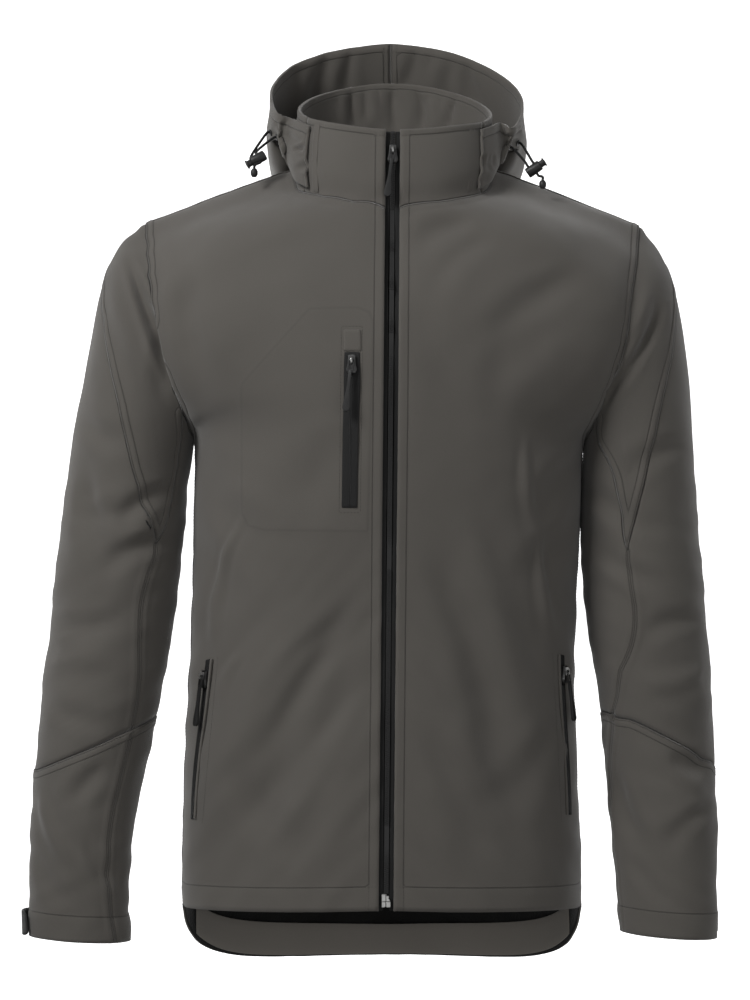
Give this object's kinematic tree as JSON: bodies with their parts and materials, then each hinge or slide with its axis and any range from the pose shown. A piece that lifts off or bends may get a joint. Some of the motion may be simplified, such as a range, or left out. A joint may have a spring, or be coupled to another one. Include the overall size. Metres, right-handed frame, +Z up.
{
  "type": "softshell jacket",
  "caption": "Hooded zip-front softshell jacket in its worn, hollow shape: stand collar, fold-back hood, long sleeves, dropped back hem, zipped chest and hand pockets.",
  "frame": {"origin": "middle of the neck's base, level with the high shoulder points, where the wearer's shoulders hold the jacket up", "axes": "+Z up, the front faces -Y, +X is the viewer's right and the wearer's left"},
  "size_m": [0.6556, 0.342, 0.9017],
  "materials": {
    "shell_cloth": "grey-brown bonded softshell, matt with a fine close weave",
    "zip_tape": "black woven zip tape and moulded teeth",
    "zip_metal": "bright plated metal",
    "moulded_plastic": "black moulded plastic",
    "tab_rubber": "black moulded rubber",
    "cord": "black braided cord"
  },
  "bodies": {
    "jacket": {"front_r": "shell_cloth", "collar_front_r": "shell_cloth", "sleeve_cap_r": "shell_cloth", "sleeve_upper_r": "shell_cloth", "sleeve_lower_r": "shell_cloth", "front_l": "shell_cloth", "collar_front_l": "shell_cloth", "sleeve_cap_l": "shell_cloth", "sleeve_upper_l": "shell_cloth", "sleeve_lower_l": "shell_cloth", "back": "shell_cloth", "collar_back": "shell_cloth", "back_hem_facing": "shell_cloth", "zip_tape_r": "zip_tape", "zip_tape_l": "zip_tape", "zip_teeth": "zip_tape", "zip_box": "zip_metal", "front_slider": "zip_metal", "chest_zip": "zip_tape", "chest_garage": "shell_cloth", "chest_slider": "zip_metal", "hand_zip_r": "zip_tape", "hand_welt_r": "shell_cloth", "hand_r_slider": "zip_metal", "hand_zip_l": "zip_tape", "hand_welt_l": "shell_cloth", "hand_l_slider": "zip_metal", "collar_band_r": "shell_cloth", "collar_band_l": "shell_cloth", "cuff_strap_r": "shell_cloth", "cuff_tab_r": "tab_rubber", "cuff_strap_l": "shell_cloth", "cuff_tab_l": "tab_rubber", "hood_r": "shell_cloth", "hood_l": "shell_cloth", "lock_barrel_r": "moulded_plastic", "eyelet_r_1": "moulded_plastic", "drawcord_r_1": "cord", "eyelet_r_2": "moulded_plastic", "drawcord_r_2": "cord", "cord_bead_r": "moulded_plastic", "drawcord_r_end": "cord", "lock_barrel_l": "moulded_plastic", "eyelet_l_1": "moulded_plastic", "drawcord_l_1": "cord", "eyelet_l_2": "moulded_plastic", "drawcord_l_2": "cord", "cord_bead_l": "moulded_plastic", "drawcord_l_end": "cord"},
    "front_pull": {"front_pull": "moulded_plastic"},
    "chest_pull": {"chest_pull": "moulded_plastic"},
    "hand_r_pull": {"hand_r_pull": "moulded_plastic"},
    "hand_l_pull": {"hand_l_pull": "moulded_plastic"},
    "lock_plunger_r": {"lock_plunger_r": "moulded_plastic"},
    "lock_plunger_l": {"lock_plunger_l": "moulded_plastic"}
  },
  "joints": [
    {"name": "front_pull_hinge", "type": "hinge", "parent": "jacket", "child": "front_pull", "pos_m": [-0.00059, -0.08221, 0.0114], "axis": [-0.9935, 0.033, 0.1092], "range_deg": [0, 140]},
    {"name": "chest_pull_hinge", "type": "hinge", "parent": "jacket", "child": "chest_pull", "pos_m": [-0.03855, -0.14281, -0.18625], "axis": [-0.9914, 0.0851, 0.0994], "range_deg": [0, 140]},
    {"name": "hand_r_pull_hinge", "type": "hinge", "parent": "jacket", "child": "hand_r_pull", "pos_m": [-0.17919, -0.06591, -0.47722], "axis": [-0.5648, 0.8227, 0.0649], "range_deg": [0, 140]},
    {"name": "hand_l_pull_hinge", "type": "hinge", "parent": "jacket", "child": "hand_l_pull", "pos_m": [0.16315, -0.05939, -0.47337], "axis": [-0.4732, -0.8676, -0.1526], "range_deg": [0, 140]},
    {"name": "lock_plunger_r_slide", "type": "slide", "parent": "jacket", "child": "lock_plunger_r", "axis": [0.8602, 0.1, 0.5001], "range_m": [0, 0.003], "stiffness_N_per_m": 250, "springref_m": -0.002},
    {"name": "lock_plunger_l_slide", "type": "slide", "parent": "jacket", "child": "lock_plunger_l", "axis": [-0.817, 0.0996, -0.5679], "range_m": [0, 0.003], "stiffness_N_per_m": 250, "springref_m": -0.002}
  ]
}
